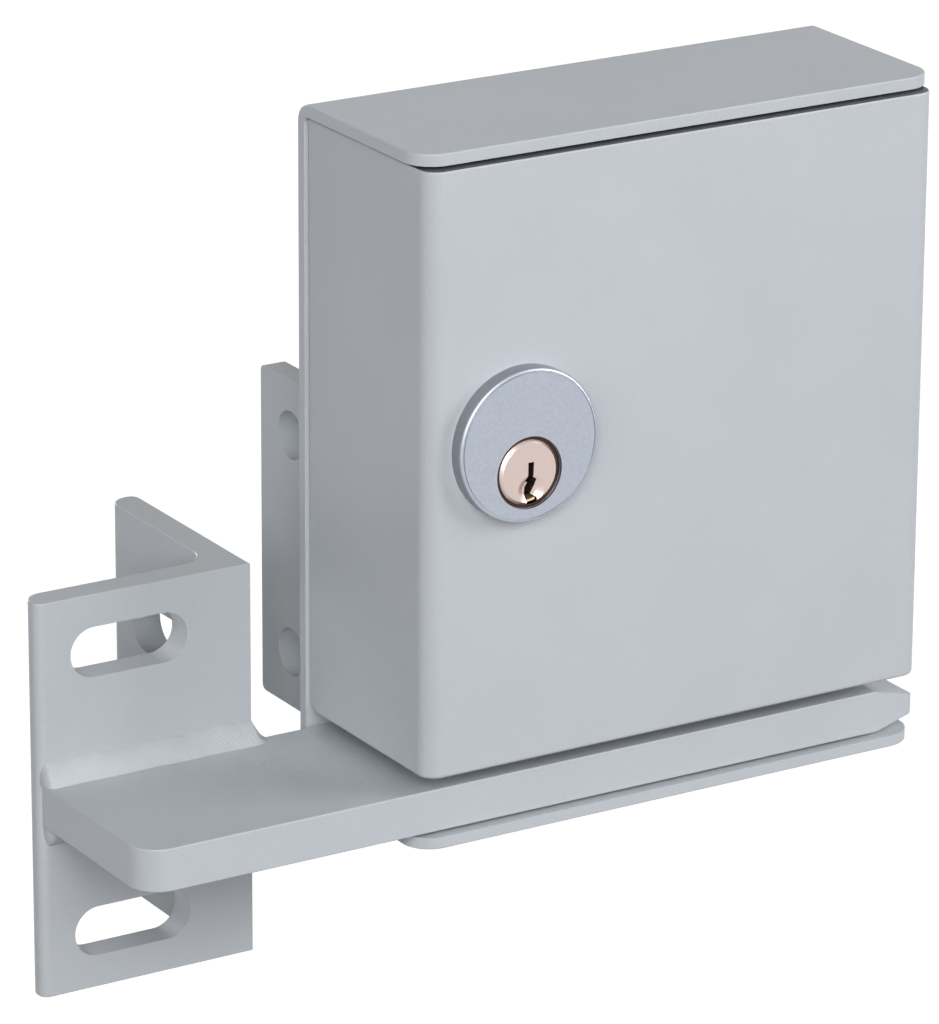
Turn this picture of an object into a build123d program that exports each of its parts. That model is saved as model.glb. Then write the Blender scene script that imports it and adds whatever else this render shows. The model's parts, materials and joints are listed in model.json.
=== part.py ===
from build123d import *
from math import atan, cos, pi, radians, sin, sqrt, tan
import os

# Motor-driven gate lock with a key cylinder override, and its strike.
# All lengths are in millimetres. +X runs along the strike bar, -Y is the front of the lock, +Z is up.
# The origin is midway between the two post bolt holes, on the face of the tab that lies on the post.

# Post tab: a flat bar welded on edge behind the frame
tab_thick = 5.0
tab_depth = 26.0
tab_height = 71.0
tab_hole_r = 5.15
tab_hole_spacing = 47.1
tab_hole_to_rear = 12.1
tab_corner_r = 1.4
tab_weld_leg = 4.0

# Frame: one strip of sheet, bent to a back wall, a lid and a lower guide
sheet = 2.5
bend_r = 4.0
frame_left = -11.0
frame_width = 121.0
frame_top = 98.2
frame_bottom = -45.6
frame_depth = 47.0
frame_corner_r = 6.2
sheet_edge_r = 0.3
frame_right = frame_left + frame_width
frame_back = tab_hole_to_rear - tab_depth
wall_front = frame_back - sheet
frame_front = frame_back - frame_depth
guide_top = frame_bottom + sheet

# Cover: a box with an open back, held by screws from behind
cover_wall = 1.5
cover_left_inset = 0.7
cover_right_inset = 1.4
cover_proud = 2.1
cover_top_gap = 0.4
cover_rear_gap = 0.1
cover_bottom = -29.7
cover_corner_r = 3.8
cover_fold_r = 2.6
cover_edge_r = 0.8
cover_brow_r = 0.5
cover_heel_r = 3.0
cover_crest_r = 1.3
cover_left = frame_left + cover_left_inset
cover_right = frame_right - cover_right_inset
cover_front = frame_front - cover_proud
cover_back = wall_front - cover_rear_gap
cover_top = frame_top - sheet - cover_top_gap
cover_width = cover_right - cover_left
cover_height = cover_top - cover_bottom
cover_depth = cover_back - cover_front
cover_mid_x = (cover_left + cover_right) / 2
cover_mid_z = (cover_top + cover_bottom) / 2
lug_size = 8.0
lug_depth = 9.0
lug_low_z = -17.0
lug_high_z = 86.0

# Countersunk screws that hold the cover, from the back of the frame
cover_screw_r = 1.7
cover_screw_length = 9.0
countersink_r = 3.9
cover_screw_clearance = 0.4
hex_socket_r = 1.4
hex_socket_depth = 1.2

# Round-headed screws of three sizes: chassis, small parts and cam
chassis_screw_r = 2.0
chassis_head_r = 3.5
chassis_head_thick = 2.2
chassis_head_chamfer = 0.7
small_screw_r = 1.5
small_head_r = 2.7
small_head_thick = 1.6
small_head_chamfer = 0.5
cam_screw_r = 1.1
cam_head_r = 2.0
cam_head_thick = 1.3
cam_head_chamfer = 0.4

# How far a cut runs past the face that it opens, and how wide a face is searched for
overrun = 1.0

# Key cylinder
cylinder_x = 10.9
cylinder_z = 37.9
disc_r = 15.8
disc_thick = 3.4
disc_edge_r = 0.6
disc_groove_width = 0.25
disc_groove_depth = 0.2
shell_r = 14.6
shell_rear = -38.0
plug_drop = 5.55
plug_r = 6.65
plug_fit = 0.05
plug_recess_r = 7.45
plug_recess_depth = 0.7
plug_bevel = 0.6
dimple_r = 3.0
dimple_x = 0.4
dimple_drop = 3.6
dimple_depth = 0.8
dimple_taper = 60
keyway_depth = 24.0
shell_clearance = 0.15
nut_r = 16.6
nut_thick = 4.0
nut_fit = 0.05
nut_notch_width = 2.4
nut_notch_depth = 1.5
plug_z = cylinder_z - plug_drop
disc_face = cover_front - disc_thick
disc_groove_r = disc_r - disc_edge_r

# Key cam: a tongue on the rear of the plug that lifts the carriage
key_turn = 80.0
cam_reach = 14.0
cam_tip_r = 3.0
cam_hub_r = 6.4
cam_thick = 3.0
cam_rest_angle = -key_turn / 2
cam_screw_offset = 3.8
cam_front = shell_rear + 0.4

# Locking bolt: a round pin that drops through the strike bar and the guide
bolt_r = 7.95
bolt_x = 52.4
bolt_stroke = 18.0
bolt_length = 50.8
bolt_tip_chamfer = 1.5
bolt_hole_r = 8.75
bush_fit = 0.07
bush_r = 11.0
bush_flange_r = 13.5
bush_flange_thick = 2.0
bush_top = -9.0
bush_end_gap = 0.4

# Strike bar: a flat bar with a tapered nose, centred on the bolt from front to back
bar_top = -33.3
bar_thick = 9.0
bar_front = -59.5
bar_back = -17.3
bar_left = -72.0
bar_nose = 109.9
bar_corner_r = 6.3
bar_edge_r = 0.3
nose_length = 9.6
nose_top_drop = 2.4
nose_bottom_rise = 2.8
nose_corner_r = 1.5
nose_lip_r = 1.5
bar_bottom = bar_top - bar_thick
bolt_y = (bar_front + bar_back) / 2

# Strike angle: rolled steel angle whose front face takes the bar
angle_leg = 48.5
angle_thick = 6.35
angle_right = -24.3
angle_height = 84.4
angle_mid_z = -37.4
angle_root_r = 6.0
angle_toe_r = 4.0
angle_toe_edge_r = 2.0
angle_edge_r = 0.3
slot_length = 26.4
slot_width = 10.6
slot_x = -52.0
slot_spacing = 60.0
leg_slot_y = 7.7
leg_slot_spacing = 38.2
angle_left = angle_right - angle_leg
angle_rear = bar_back + angle_leg
angle_bottom = angle_mid_z - angle_height / 2

# Weld beads between the bar and the angle
bead_height = 4.2
bead_depth = 3.4
bead_bulge = 0.7
bead_left = -71.0

# Chassis: a bent plate inside the cover that carries the moving parts
chassis_sheet = 2.0
chassis_left = 42.0
chassis_right = 96.0
chassis_foot = -23.8
chassis_head = 90.0
chassis_foot_reach = 38.0
chassis_head_reach = 12.0
chassis_bend_r = 3.0
chassis_window = (44.0, 16.0)
chassis_front = wall_front - chassis_sheet

# Guide rods on which the carriage slides
rod_r = 2.5
rod_y = -22.9
rod_xs = (48.4, 89.6)
rod_fit = 0.06
rod_overhang = 1.5
rod_chamfer = 0.4
clip_width = 1.8
clip_thick = 1.0
runner_width = 10.0
runner_height = 8.0
runner_low_z = 16.0
runner_high_z = 50.0
runner_gap = 0.5
runner_corner_r = 1.0

# Carriage plate: carries the gearmotor and is lifted by the key cam
plate_front = -29.9
plate_thick = 2.5
plate_left = 42.0
plate_right = 96.0
plate_low = 10.0
plate_high = 56.0
plate_corner_r = 3.0
arm_overlap = 6.0
arm_left = 22.5
arm_height = 10.0
lift_lug_width = 8.0
lift_lug_thick = 2.5
lift_face_drop = 5.3
lift_lug_gap = 0.1
plate_back = plate_front + plate_thick

# Rack and pinion
gear_module = 1.0
pinion_teeth = 14
tooth_height = 0.8 * gear_module
tooth_root = 1.05 * gear_module
tooth_backlash = 0.12
pressure_angle = radians(20)
rack_teeth = 11
teeth_below = 2
rack_end_pitches = 0.7
tooth_foot_depth = 0.6
rack_left = 48.4
rack_front = -34.9
rack_back = -30.4
rack_bottom = 9.5
rack_screw_rises = (3.4, 9.1)
rack_screw_grip = 7.0
magnet_size = 3.0
magnet_rise = 10.0
pinion_x = 64.4
pinion_z = 36.2
pinion_front = -34.7
pinion_back = -30.6
shaft_r = 3.0
shaft_fit = 0.05
shaft_engagement = 5.0
shaft_chamfer = 0.4
pitch_r = gear_module * pinion_teeth / 2
pitch_line = pinion_x - pitch_r
tooth_pitch = pi * gear_module

# Gearmotor
gearbox_left = 50.0
gearbox_right = 86.0
gearbox_low = 23.6
gearbox_high = 51.0
gearbox_front = -60.6
gearbox_back = -36.4
gearbox_corner_r = 3.0
gearbox_cap_thick = 3.0
gearbox_cap_inset = 1.0
gearbox_boss_r = 6.0
gearbox_boss_gap = 0.4
gearbox_width = gearbox_right - gearbox_left
gearbox_height = gearbox_high - gearbox_low
motor_r = 12.0
motor_flat = 2.0
motor_chamfer = 0.8
motor_x = 74.4
motor_y = -48.5
motor_length = 26.0
motor_cap_r = 9.5
motor_cap_length = 3.0
motor_tag_size = (0.8, 3.0)
motor_tag_spacing = 12.0
motor_tag_length = 3.0
standoff_r = 3.0
standoff_points = ((80.5, 47.0), (80.5, 27.6), (68.0, 47.2))

# Position sensor beside the rack
sensor_size = (4.4, 24.0)
sensor_thick = 4.0
sensor_corner_r = 1.0
sensor_offset = 3.2

# Return springs above the carriage
spring_r = 3.7
spring_wire_r = 0.45
spring_turns = 7

# Circuit board
board_left = 0.5
board_right = 39.0
board_low = 58.0
board_high = 90.0
board_thick = 1.6
board_standoff = 8.0
board_corner_r = 2.0
board_hole_inset = 3.5
terminal_x = 19.25
terminal_z = 6.0
terminal_size = (24.0, 8.0)
terminal_height = 10.0
terminal_pitch = 4.7
terminal_count = 5
terminal_screw_r = 1.7
terminal_screw_depth = 3.0
terminal_throat = 3.4
relay_x = 14.5
relay_drop = 11.0
relay_size = (14.0, 16.0)
relay_height = 14.0
capacitor_x = 27.0
capacitor_drops = (6.0, 15.0)
capacitor_r = 3.8
capacitor_height = 11.0
component_edge = 0.6
board_back = wall_front - board_standoff
board_front = board_back - board_thick

# Cable entry through the back wall
cable_x = 26.0
cable_z = 8.0
cable_hole_r = 7.0
cable_bore_r = 4.0
cable_flange_r = 9.0
cable_flange_chamfer = 0.7


def facing_front(y):
    """Sketch plane that faces the front, at a distance y, with its local x and y along X and Z."""
    return Plane.XZ.offset(-y)


def save(node, name):
    """Label a finished piece and write its file."""
    node.part.label = name
    export_step(node.part, f"parts/{name}.step")


os.makedirs("parts", exist_ok=True)

screw_points = [
    (cover_left + cover_wall + lug_size / 2, lug_low_z),
    (cover_left + cover_wall + lug_size / 2, lug_high_z),
    (cover_right - cover_wall - lug_size / 2, lug_low_z),
    (cover_right - cover_wall - lug_size / 2, lug_high_z),
]
chassis_points = [(60.0, 3.0), (78.0, 3.0), (60.0, 74.0), (78.0, 74.0)]
board_points = [
    (board_left + board_hole_inset, board_low + board_hole_inset),
    (board_left + board_hole_inset, board_high - board_hole_inset),
    (board_right - board_hole_inset, board_low + board_hole_inset),
    (board_right - board_hole_inset, board_high - board_hole_inset),
]

# Frame

with BuildPart() as back_frame:
    with BuildSketch(Plane.YZ.offset(frame_left)):
        with BuildLine():
            FilletPolyline(
                (frame_front, frame_top),
                (frame_back, frame_top),
                (frame_back, frame_bottom),
                (frame_front, frame_bottom),
                radius=bend_r,
            )
            Line((frame_front, frame_bottom), (frame_front, guide_top))
            FilletPolyline(
                (frame_front, guide_top),
                (wall_front, guide_top),
                (wall_front, frame_top - sheet),
                (frame_front, frame_top - sheet),
                radius=bend_r - sheet,
            )
            Line((frame_front, frame_top - sheet), (frame_front, frame_top))
        make_face()
    extrude(amount=frame_width)
    fillet(back_frame.edges().filter_by(Axis.Z).group_by(Axis.Y)[0], radius=frame_corner_r)
    lid_rim = back_frame.faces().sort_by(Axis.Z)[-1].outer_wire().edges()
    lid_edge = lid_rim.filter_by_position(Axis.Y, frame_front - overrun, frame_back - bend_r - overrun)
    fillet(lid_edge, radius=sheet_edge_r)
    with BuildSketch(Plane.XY.offset(guide_top)):
        with Locations((bolt_x, bolt_y)):
            Circle(bolt_hole_r)
    extrude(amount=-sheet, mode=Mode.SUBTRACT)
    with BuildSketch(facing_front(frame_back)):
        with Locations((cable_x, cable_z)):
            Circle(cable_hole_r)
        with Locations(chassis_points):
            Circle(chassis_screw_r)
        with Locations(board_points):
            Circle(small_screw_r)
    extrude(amount=sheet, mode=Mode.SUBTRACT)
    with Locations(Plane.XZ.offset(-frame_back).rotated((180, 0, 0))):
        with Locations([(x, -z) for x, z in screw_points]):
            CounterSinkHole(
                radius=cover_screw_r + cover_screw_clearance,
                counter_sink_radius=countersink_r,
                depth=sheet,
                counter_sink_angle=90,
            )
save(back_frame, "back_frame")

with BuildPart() as post_tab:
    with BuildSketch(Plane.YZ.offset(-tab_thick)):
        with Locations((frame_back + tab_depth / 2, 0)):
            tab_outline = Rectangle(tab_depth, tab_height)
        fillet(tab_outline.vertices().group_by(Axis.X)[-1], radius=tab_corner_r)
        with GridLocations(0, tab_hole_spacing, 1, 2):
            Circle(tab_hole_r, mode=Mode.SUBTRACT)
    extrude(amount=tab_thick)
save(post_tab, "post_tab")

# Weld bead down the side of the tab that doesn't lie on the post, and round both its ends
with BuildPart() as tab_welds:
    for end in (-1, 1):
        end_z = end * tab_height / 2
        with BuildSketch(Plane.XY.offset(end_z)):
            with BuildLine():
                toe = (-tab_thick - tab_weld_leg, frame_back)
                crown = (-tab_thick, frame_back + tab_weld_leg)
                Polyline(toe, (-tab_thick, frame_back), crown)
                SagittaArc(crown, toe, bead_bulge)
            make_face()
        side_section = tab_welds.pending_faces[0]
        revolve(axis=Axis((-tab_thick, frame_back, end_z), (0, end, 0)), revolution_arc=90)
        with BuildSketch(Plane.YZ.offset(-tab_thick)):
            with BuildLine():
                foot = (frame_back, end_z + end * tab_weld_leg)
                crest = (frame_back + tab_weld_leg, end_z)
                Polyline(foot, (frame_back, end_z), crest)
                SagittaArc(crest, foot, end * bead_bulge)
            make_face()
        extrude(amount=tab_thick)
    extrude(side_section, amount=tab_height, dir=(0, 0, -1))
save(tab_welds, "tab_welds")

# Cover

# The room inside the cover, open at the back, with a lug left in each corner for its screw
with BuildPart() as cover_hollow:
    with BuildSketch(facing_front(cover_back + overrun)):
        with Locations((cover_mid_x, cover_mid_z)):
            Rectangle(cover_width - 2 * cover_wall, cover_height - 2 * cover_wall)
    extrude(amount=cover_depth - cover_wall + overrun)
    fillet(cover_hollow.edges().filter_by(Axis.Z).group_by(Axis.Y)[0], radius=cover_corner_r - cover_wall)
    inner_heel = cover_hollow.edges().filter_by(Axis.X).group_by(Axis.Z)[0].sort_by(Axis.Y)[-1]
    fillet(inner_heel, radius=cover_heel_r - cover_wall)
    with BuildSketch(facing_front(cover_back + overrun)):
        with Locations(screw_points):
            Rectangle(lug_size, lug_size)
    extrude(amount=lug_depth + overrun, mode=Mode.SUBTRACT)

with BuildPart() as front_cover:
    with BuildSketch(facing_front(cover_back)):
        with Locations((cover_mid_x, cover_mid_z)):
            Rectangle(cover_width, cover_height)
    extrude(amount=cover_depth)
    fillet(front_cover.edges().filter_by(Axis.Z).group_by(Axis.Y)[0], radius=cover_corner_r)
    heel = front_cover.edges().filter_by(Axis.X).group_by(Axis.Z)[0].sort_by(Axis.Y)[-1]
    fillet(heel, radius=cover_heel_r)
    sole = front_cover.faces().sort_by(Axis.Z)[0].outer_wire().edges()
    sole_edge = sole.filter_by_position(Axis.Y, cover_front - overrun, cover_back - cover_heel_r - overrun)
    fillet(sole_edge, radius=cover_edge_r)
    brow = front_cover.faces().sort_by(Axis.Z)[-1].outer_wire().edges()
    brow_edge = brow.filter_by_position(Axis.Y, cover_front - overrun, cover_back - overrun)
    fillet(brow_edge, radius=cover_brow_r)
    with BuildSketch(facing_front(cover_back)):
        with Locations((cover_right - cover_fold_r, cover_bottom + cover_fold_r)):
            Rectangle(cover_fold_r, cover_fold_r, align=(Align.MIN, Align.MAX))
            Circle(cover_fold_r, mode=Mode.SUBTRACT)
    extrude(amount=cover_depth, mode=Mode.SUBTRACT)
    with BuildSketch(Plane.YZ.offset(cover_left)):
        with Locations((cover_back - cover_crest_r, cover_top - cover_crest_r)):
            Rectangle(cover_crest_r, cover_crest_r, align=(Align.MIN, Align.MIN))
            Circle(cover_crest_r, mode=Mode.SUBTRACT)
    extrude(amount=cover_width, mode=Mode.SUBTRACT)
    add(cover_hollow.part, mode=Mode.SUBTRACT)
    with BuildSketch(facing_front(cover_back)):
        with Locations(screw_points):
            Circle(cover_screw_r)
    extrude(amount=cover_screw_length - sheet, mode=Mode.SUBTRACT)
    with BuildSketch(facing_front(cover_front)):
        with Locations((cylinder_x, cylinder_z)):
            Circle(shell_r + shell_clearance)
    extrude(amount=-2 * cover_wall, mode=Mode.SUBTRACT)
    with BuildSketch(Plane.XY.offset(cover_bottom)):
        with Locations((bolt_x, bolt_y)):
            Circle(bolt_hole_r)
    extrude(amount=2 * cover_wall, mode=Mode.SUBTRACT)
save(front_cover, "front_cover")

with BuildPart() as cover_screws:
    with BuildSketch(facing_front(frame_back)):
        with Locations(screw_points):
            Circle(cover_screw_r)
    extrude(amount=cover_screw_length)
    with BuildSketch(facing_front(frame_back)):
        with Locations(screw_points):
            Circle(countersink_r)
    extrude(amount=countersink_r - cover_screw_r - cover_screw_clearance, taper=45)
    with BuildSketch(facing_front(frame_back)):
        with Locations(screw_points):
            RegularPolygon(hex_socket_r, 6)
    extrude(amount=hex_socket_depth, mode=Mode.SUBTRACT)
save(cover_screws, "cover_screws")

# Rubber bush in the cable entry, flush with the back of the frame
with BuildPart() as cable_bush:
    with BuildSketch(facing_front(frame_back)):
        with Locations((cable_x, cable_z)):
            Circle(cable_hole_r)
    extrude(amount=sheet)
    with BuildSketch(facing_front(wall_front)):
        with Locations((cable_x, cable_z)):
            Circle(cable_flange_r)
    extrude(amount=sheet)
    chamfer(cable_bush.edges().group_by(Axis.Y)[0], length=cable_flange_chamfer)
    with BuildSketch(facing_front(frame_back)):
        with Locations((cable_x, cable_z)):
            Circle(cable_bore_r)
    extrude(amount=2 * sheet, mode=Mode.SUBTRACT)
save(cable_bush, "cable_bush")

# Key cylinder

with BuildPart() as cylinder_shell:
    with BuildSketch(facing_front(cover_front)):
        with Locations((cylinder_x, cylinder_z)):
            Circle(disc_r)
    extrude(amount=disc_thick)
    fillet(cylinder_shell.edges().group_by(Axis.Y)[0], radius=disc_edge_r)
    with BuildSketch(facing_front(shell_rear)):
        with Locations((cylinder_x, cylinder_z)):
            Circle(shell_r)
    extrude(amount=shell_rear - cover_front)
    with BuildSketch(facing_front(disc_face)):
        with Locations((cylinder_x, cylinder_z)):
            Circle(disc_groove_r)
            Circle(disc_groove_r - disc_groove_width, mode=Mode.SUBTRACT)
    extrude(amount=-disc_groove_depth, mode=Mode.SUBTRACT)
    with BuildSketch(facing_front(disc_face)):
        with Locations((cylinder_x, plug_z)):
            Circle(plug_recess_r)
    extrude(amount=-plug_recess_depth, mode=Mode.SUBTRACT)
    with BuildSketch(facing_front(shell_rear)):
        with Locations((cylinder_x, plug_z)):
            Circle(plug_r + plug_fit)
    extrude(amount=shell_rear - disc_face, mode=Mode.SUBTRACT)
save(cylinder_shell, "cylinder_shell")

# Ring nut behind the cover's front wall, with four notches for a spanner
with BuildPart() as cylinder_nut:
    with BuildSketch(facing_front(cover_front + cover_wall + nut_thick)):
        with Locations((cylinder_x, cylinder_z)):
            Circle(nut_r)
            Circle(shell_r + nut_fit, mode=Mode.SUBTRACT)
            with PolarLocations(nut_r, 4):
                Rectangle(2 * nut_notch_depth, nut_notch_width, mode=Mode.SUBTRACT)
    extrude(amount=nut_thick)
save(cylinder_nut, "cylinder_nut")

# Plug with its keyway: a narrow stepped slot that is open at the bottom of the plug
with BuildPart() as key_plug:
    with BuildSketch(facing_front(cam_front)):
        with Locations((cylinder_x, plug_z)):
            Circle(plug_r)
    extrude(amount=cam_front - disc_face)
    chamfer(key_plug.edges().group_by(Axis.Y)[0], length=plug_bevel)
    plug_face = Plane(origin=(cylinder_x, disc_face, plug_z), x_dir=(1, 0, 0), z_dir=(0, -1, 0))
    with BuildSketch(plug_face):
        with Locations((dimple_x, -dimple_drop)):
            Circle(dimple_r)
    extrude(amount=-dimple_depth, taper=dimple_taper, mode=Mode.SUBTRACT)
    with BuildSketch(plug_face):
        with BuildLine():
            Polyline(
                (-0.3, 2.1),
                (1.0, 2.1),
                (0.9, -1.0),
                (1.8, -1.6),
                (1.7, -2.7),
                (0.6, -4.6),
                (1.9, -5.4),
                (1.9, -plug_r - overrun),
                (-0.4, -plug_r - overrun),
                (-0.4, -6.5),
                (-0.8, -4.3),
                (-0.7, -3.0),
                (-0.1, -2.2),
                (-0.8, -1.7),
                (-0.3, -0.4),
                close=True,
            )
        make_face()
    extrude(amount=-keyway_depth, mode=Mode.SUBTRACT)
save(key_plug, "key_plug")

cam_tip = (
    cylinder_x + cam_reach * cos(radians(cam_rest_angle)),
    plug_z + cam_reach * sin(radians(cam_rest_angle)),
)
cam_middle = ((cylinder_x + cam_tip[0]) / 2, (plug_z + cam_tip[1]) / 2)
cam_screw_points = [(cylinder_x - cam_screw_offset, plug_z), (cylinder_x + cam_screw_offset, plug_z)]

with BuildPart() as key_cam:
    with BuildSketch(facing_front(cam_front + cam_thick)):
        with Locations((cylinder_x, plug_z)):
            Circle(cam_hub_r)
        with Locations(cam_middle):
            SlotCenterToCenter(cam_reach, 2 * cam_tip_r, rotation=cam_rest_angle)
        with Locations(cam_screw_points):
            Circle(cam_screw_r, mode=Mode.SUBTRACT)
    extrude(amount=cam_thick)
save(key_cam, "key_cam")

with BuildPart() as cam_screws:
    with BuildSketch(facing_front(cam_front + cam_thick)):
        with Locations(cam_screw_points):
            Circle(cam_screw_r)
    extrude(amount=cam_thick)
    with BuildSketch(facing_front(cam_front + cam_thick + cam_head_thick)):
        with Locations(cam_screw_points):
            Circle(cam_head_r)
    extrude(amount=cam_head_thick)
    chamfer(cam_screws.edges().group_by(Axis.Y)[-1], length=cam_head_chamfer)
save(cam_screws, "cam_screws")

# Chassis, guide rods and bolt bush

chassis_window_centre = (
    (chassis_left + chassis_right) / 2,
    (chassis_points[0][1] + chassis_points[-1][1]) / 2,
)
foot_front = wall_front - chassis_foot_reach
head_front = wall_front - chassis_head_reach

with BuildPart() as chassis:
    with BuildSketch(Plane.YZ.offset(chassis_left)):
        with BuildLine():
            FilletPolyline(
                (foot_front, chassis_foot),
                (wall_front, chassis_foot),
                (wall_front, chassis_head),
                (head_front, chassis_head),
                radius=chassis_bend_r,
            )
            Line((head_front, chassis_head), (head_front, chassis_head - chassis_sheet))
            FilletPolyline(
                (head_front, chassis_head - chassis_sheet),
                (chassis_front, chassis_head - chassis_sheet),
                (chassis_front, chassis_foot + chassis_sheet),
                (foot_front, chassis_foot + chassis_sheet),
                radius=chassis_bend_r - chassis_sheet,
            )
            Line((foot_front, chassis_foot + chassis_sheet), (foot_front, chassis_foot))
        make_face()
    extrude(amount=chassis_right - chassis_left)
    with BuildSketch(Plane.XY.offset(chassis_foot)):
        with Locations((bolt_x, bolt_y)):
            Circle(bush_r)
        with Locations([(x, rod_y) for x in rod_xs]):
            Circle(rod_r)
    extrude(amount=chassis_sheet, mode=Mode.SUBTRACT)
    with BuildSketch(Plane.XY.offset(chassis_head)):
        with Locations([(x, rod_y) for x in rod_xs]):
            Circle(rod_r)
    extrude(amount=-chassis_sheet, mode=Mode.SUBTRACT)
    with BuildSketch(facing_front(wall_front)):
        with Locations(chassis_points):
            Circle(chassis_screw_r)
        with Locations(chassis_window_centre):
            SlotOverall(*chassis_window, rotation=90)
    extrude(amount=chassis_sheet, mode=Mode.SUBTRACT)
save(chassis, "chassis")

with BuildPart() as chassis_screws:
    with BuildSketch(facing_front(frame_back)):
        with Locations(chassis_points):
            Circle(chassis_screw_r)
    extrude(amount=sheet + chassis_sheet)
    with BuildSketch(facing_front(chassis_front)):
        with Locations(chassis_points):
            Circle(chassis_head_r)
    extrude(amount=chassis_head_thick)
    chamfer(chassis_screws.edges().group_by(Axis.Y)[0], length=chassis_head_chamfer)
save(chassis_screws, "chassis_screws")

with BuildPart() as guide_rods:
    with BuildSketch(Plane.XY.offset(chassis_foot - rod_overhang)):
        with Locations([(x, rod_y) for x in rod_xs]):
            Circle(rod_r)
    extrude(amount=chassis_head - chassis_foot + 2 * rod_overhang)
    chamfer(guide_rods.edges().group_by(Axis.Z)[-1], length=rod_chamfer)
save(guide_rods, "guide_rods")

with BuildPart() as rod_clips:
    for level in (chassis_head, chassis_foot - clip_thick):
        with BuildSketch(Plane.XY.offset(level)):
            with Locations([(x, rod_y) for x in rod_xs]):
                Circle(rod_r + clip_width)
                Circle(rod_r, mode=Mode.SUBTRACT)
        extrude(amount=clip_thick)
save(rod_clips, "rod_clips")

with BuildPart() as bolt_bush:
    with BuildSketch(Plane.XY.offset(bush_top)):
        with Locations((bolt_x, bolt_y)):
            Circle(bush_r)
    extrude(amount=cover_bottom + cover_wall + bush_end_gap - bush_top)
    with BuildSketch(Plane.XY.offset(chassis_foot + chassis_sheet)):
        with Locations((bolt_x, bolt_y)):
            Circle(bush_flange_r)
    extrude(amount=bush_flange_thick)
    with BuildSketch(Plane.XY.offset(bush_top)):
        with Locations((bolt_x, bolt_y)):
            Circle(bolt_r + bush_fit)
    extrude(amount=cover_bottom - bush_top, mode=Mode.SUBTRACT)
save(bolt_bush, "bolt_bush")

# Locking bolt with its rack

rack_top = pinion_z + (rack_teeth - 1 - teeth_below + rack_end_pitches) * tooth_pitch
first_tooth_z = pinion_z - teeth_below * tooth_pitch
rack_root = pitch_line - tooth_root
rack_screw_points = [(bolt_x, rack_bottom + rise) for rise in rack_screw_rises]
magnet_z = pinion_z + magnet_rise

with BuildPart() as locking_bolt:
    with BuildSketch(Plane.XY.offset(cover_bottom)):
        with Locations((bolt_x, bolt_y)):
            Circle(bolt_r)
    extrude(amount=bolt_length)
    chamfer(locking_bolt.edges().group_by(Axis.Z)[0], length=bolt_tip_chamfer)
    with BuildSketch(Plane.XY.offset(rack_bottom)):
        with Locations((bolt_x, rack_front + bolt_r / 2)):
            Rectangle(2 * bolt_r, bolt_r)
    extrude(amount=bolt_length, mode=Mode.SUBTRACT)
    with BuildSketch(facing_front(rack_front)):
        with Locations(rack_screw_points):
            Circle(small_screw_r)
    extrude(amount=rack_screw_grip, mode=Mode.SUBTRACT)
save(locking_bolt, "locking_bolt")

half_tooth = tooth_pitch / 4 - tooth_backlash / 2
half_tip = half_tooth - tooth_height * tan(pressure_angle)
half_root = half_tooth + tooth_root * tan(pressure_angle)

with BuildPart() as bolt_rack:
    with BuildSketch(facing_front(rack_back)):
        with Locations(((rack_left + rack_root) / 2, (rack_bottom + rack_top) / 2)):
            Rectangle(rack_root - rack_left, rack_top - rack_bottom)
        with BuildLine():
            Polyline(
                (rack_root, first_tooth_z - half_root),
                (pitch_line + tooth_height, first_tooth_z - half_tip),
                (pitch_line + tooth_height, first_tooth_z + half_tip),
                (rack_root, first_tooth_z + half_root),
                close=True,
            )
        first_tooth = make_face()
        with Locations([(0, tooth_pitch * k) for k in range(1, rack_teeth)]):
            add(first_tooth)
        with Locations((rack_left, magnet_z)):
            Rectangle(2 * magnet_size, magnet_size, mode=Mode.SUBTRACT)
        with Locations(rack_screw_points):
            Circle(small_screw_r, mode=Mode.SUBTRACT)
    extrude(amount=rack_back - rack_front)
    with BuildSketch(facing_front(rack_back)):
        with Locations(rack_screw_points):
            Circle(small_head_r)
    extrude(amount=small_head_thick, mode=Mode.SUBTRACT)
save(bolt_rack, "bolt_rack")

with BuildPart() as rack_screws:
    with BuildSketch(facing_front(rack_back)):
        with Locations(rack_screw_points):
            Circle(small_head_r)
    extrude(amount=small_head_thick)
    with BuildSketch(facing_front(rack_back)):
        with Locations(rack_screw_points):
            Circle(small_screw_r)
    extrude(amount=rack_back - rack_front + rack_screw_grip)
save(rack_screws, "rack_screws")

with BuildPart() as sensor_magnet:
    with BuildSketch(facing_front(rack_back)):
        with Locations((rack_left + magnet_size / 2, magnet_z)):
            Rectangle(magnet_size, magnet_size)
    extrude(amount=rack_back - rack_front)
save(sensor_magnet, "sensor_magnet")

# Pinion: involute teeth, with a gap that faces the rack tooth at rest

base_r = pitch_r * cos(pressure_angle)
tip_r = pitch_r + tooth_height
root_r = pitch_r - tooth_root
foot_r = root_r - tooth_foot_depth
half_tooth_angle = pi / (2 * pinion_teeth) - tooth_backlash / (2 * pitch_r)
flank_start = half_tooth_angle + tan(pressure_angle) - pressure_angle
tip_roll = sqrt((tip_r / base_r) ** 2 - 1)


def flank_point(roll, side):
    """Point on one side of a tooth that points along +X: the involute of the base circle."""
    radius = base_r * sqrt(1 + roll**2)
    angle = side * (flank_start - (roll - atan(roll)))
    return (radius * cos(angle), radius * sin(angle))


pinion_plane = Plane(origin=(pinion_x, pinion_back, pinion_z), x_dir=(1, 0, 0), z_dir=(0, -1, 0))

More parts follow.
